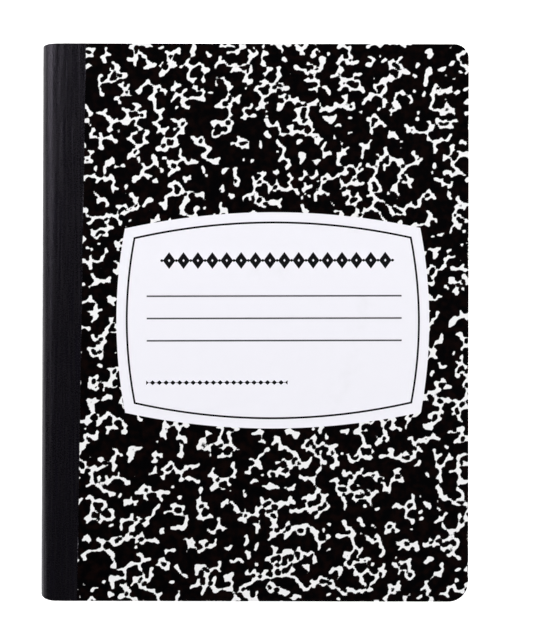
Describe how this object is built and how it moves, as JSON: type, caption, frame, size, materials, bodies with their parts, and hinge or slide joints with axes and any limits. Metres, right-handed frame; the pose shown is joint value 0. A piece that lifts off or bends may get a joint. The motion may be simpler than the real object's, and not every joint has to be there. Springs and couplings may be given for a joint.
{
  "type": "composition notebook",
  "caption": "Sewn composition notebook with stiff marbled covers, a printed name panel and a black cloth spine; both covers open.",
  "frame": {"origin": "middle of the footprint, on the surface the notebook lies on", "axes": "+X from the spine to the fore-edge, +Y from the tail to the head, +Z from the back cover up to the front cover"},
  "size_m": [0.19, 0.2476, 0.011],
  "materials": {
    "marbled_paper": "matte",
    "spine_cloth": "matte",
    "greyboard": "matte",
    "lining_paper": "matte",
    "leaves": "matte",
    "thread": "matte"
  },
  "bodies": {
    "block": {"text_block": "leaves", "needle_thread": "thread", "bobbin_thread": "thread", "spine_tape": "spine_cloth"},
    "front_cover": {"front_board": "greyboard", "front_cover_paper": "marbled_paper", "front_lining": "lining_paper", "front_tape": "spine_cloth"},
    "back_cover": {"back_board": "greyboard", "back_cover_paper": "marbled_paper", "back_lining": "lining_paper", "back_tape": "spine_cloth"}
  },
  "joints": [
    {"name": "front_cover_hinge", "type": "hinge", "parent": "block", "child": "front_cover", "pos_m": [-0.088, 0, 0.011], "axis": [0, -1, 0], "range_deg": [0, 179]},
    {"name": "back_cover_hinge", "type": "hinge", "parent": "block", "child": "back_cover", "pos_m": [-0.088, 0, 0], "axis": [0, 1, 0], "range_deg": [0, 179]}
  ]
}
